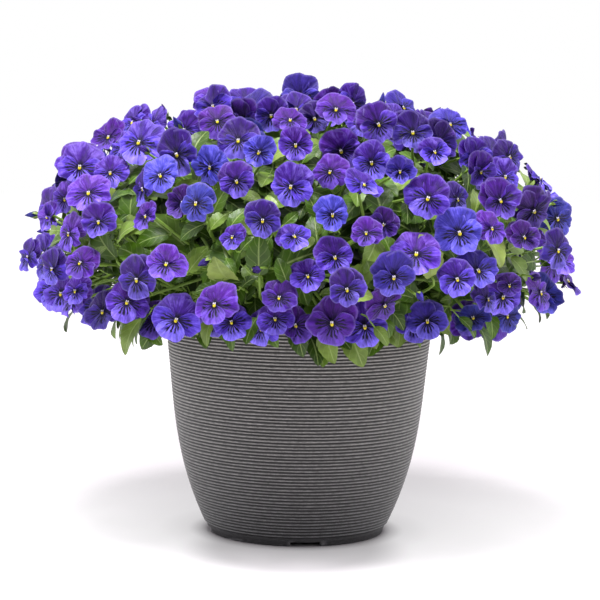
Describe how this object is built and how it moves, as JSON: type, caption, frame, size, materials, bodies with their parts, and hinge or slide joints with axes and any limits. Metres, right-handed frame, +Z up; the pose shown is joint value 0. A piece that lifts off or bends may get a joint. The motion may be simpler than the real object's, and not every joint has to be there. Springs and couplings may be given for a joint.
{
  "type": "potted viola planter",
  "caption": "Round ribbed patio pot filled with soil, holding a wide dome of violet viola blooms over leafy stems that hang a little over the rim.",
  "frame": {"origin": "on the floor under the middle of the pot", "axes": "+Z up; -Y is the front, the side that most blooms look towards; +X to the right seen from the front"},
  "size_m": [0.518, 0.5099, 0.4183],
  "materials": {
    "pot_plastic": "satin grey moulded plastic with lighter rib crests",
    "potting_soil": "crumbly dark brown potting mix",
    "petals": "soft violet petals, lighter below, with dark whiskers and a yellow eye",
    "foliage": "mid green leaves with a slight sheen"
  },
  "bodies": {
    "root": {"pot": "pot_plastic", "soil": "potting_soil", "bloom_spray_01": "petals", "bloom_spray_02": "petals", "bloom_spray_03": "petals", "bloom_spray_04": "petals", "bloom_spray_05": "petals", "bloom_spray_06": "petals", "bloom_spray_07": "petals", "bloom_spray_08": "petals", "bloom_spray_09": "petals", "bloom_spray_10": "petals", "bloom_spray_11": "petals", "bloom_spray_12": "petals", "bloom_spray_13": "petals", "bloom_spray_14": "petals", "bloom_spray_15": "petals", "bloom_spray_16": "petals", "bloom_spray_17": "petals", "bloom_spray_18": "petals", "bloom_spray_19": "petals", "bloom_spray_20": "petals", "bloom_spray_21": "petals", "bloom_spray_22": "petals", "bloom_spray_23": "petals", "bloom_spray_24": "petals", "bloom_spray_25": "petals", "bloom_spray_26": "petals", "bloom_spray_27": "petals", "bloom_spray_28": "petals", "leafy_stem_01": "foliage", "leafy_stem_02": "foliage", "leafy_stem_03": "foliage", "leafy_stem_04": "foliage", "leafy_stem_05": "foliage", "leafy_stem_06": "foliage", "leafy_stem_07": "foliage", "leafy_stem_08": "foliage", "leafy_stem_09": "foliage", "leafy_stem_10": "foliage", "leafy_stem_11": "foliage", "leafy_stem_12": "foliage", "leafy_stem_13": "foliage", "leafy_stem_14": "foliage", "leafy_stem_15": "foliage", "leafy_stem_16": "foliage", "leafy_stem_17": "foliage", "leafy_stem_18": "foliage", "leafy_stem_19": "foliage", "leafy_stem_20": "foliage", "leafy_stem_21": "foliage", "leafy_stem_22": "foliage", "leafy_stem_23": "foliage", "leafy_stem_24": "foliage", "leafy_stem_25": "foliage", "leafy_stem_26": "foliage", "leafy_stem_27": "foliage", "leafy_stem_28": "foliage"}
  },
  "joints": []
}
